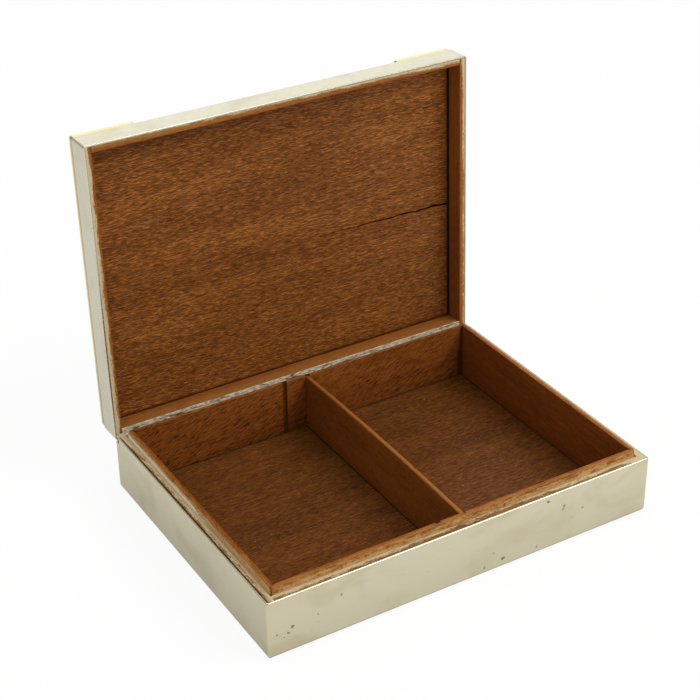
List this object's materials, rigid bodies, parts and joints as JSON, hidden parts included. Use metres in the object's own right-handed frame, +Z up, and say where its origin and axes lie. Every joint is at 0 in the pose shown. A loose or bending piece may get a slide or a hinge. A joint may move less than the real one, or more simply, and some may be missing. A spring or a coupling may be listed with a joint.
{
  "type": "hinged table box",
  "caption": "Low rectangular table box clad in silver-coloured metal and lined with wood, with a slip-in divider, a flat hinged lid and brass bands on the lid.",
  "frame": {"origin": "centre of the base's underside, on the face it rests on", "axes": "+X to the right along the hinge, +Y to the back where the hinge is, +Z up"},
  "size_m": [0.165, 0.1405, 0.1445],
  "materials": {
    "silver_metal": "silver-coloured plate, polished, with soft stains and small pits",
    "band_brass": "polished",
    "hinge_brass": "dull, with pale residue",
    "panel_wood": "open-grained, oiled",
    "carcass_wood": "waxed, whitened on its worn edges",
    "board_wood": "satin",
    "lining_wood": "satin varnish"
  },
  "bodies": {
    "base": {"base_case": "silver_metal", "baseboard": "board_wood", "floor_board": "board_wood", "base_rail_front": "carcass_wood", "base_rail_back": "carcass_wood", "base_rail_left": "carcass_wood", "base_rail_right": "carcass_wood", "lining_front": "lining_wood", "lining_back": "lining_wood", "lining_left": "lining_wood", "lining_right": "lining_wood", "hinge_base_leaf": "hinge_brass", "hinge_base_knuckles": "hinge_brass", "hinge_pin": "hinge_brass"},
    "lid": {"lid_case": "silver_metal", "lid_rail_front": "carcass_wood", "lid_rail_back": "carcass_wood", "lid_rail_left": "carcass_wood", "lid_rail_right": "carcass_wood", "lid_panel": "panel_wood", "brass_band_left": "band_brass", "brass_band_right": "band_brass", "hinge_lid_leaf": "hinge_brass", "hinge_lid_knuckles": "hinge_brass"},
    "divider": {"divider": "lining_wood"}
  },
  "joints": [
    {"name": "lid_hinge", "type": "hinge", "parent": "base", "child": "lid", "pos_m": [0, 0.05985, 0.0235], "axis": [-1, 0, 0], "range_deg": [-92, 0]},
    {"name": "divider_lift", "type": "slide", "parent": "base", "child": "divider", "axis": [0, 0, 1], "range_m": [0, 0.005]}
  ]
}
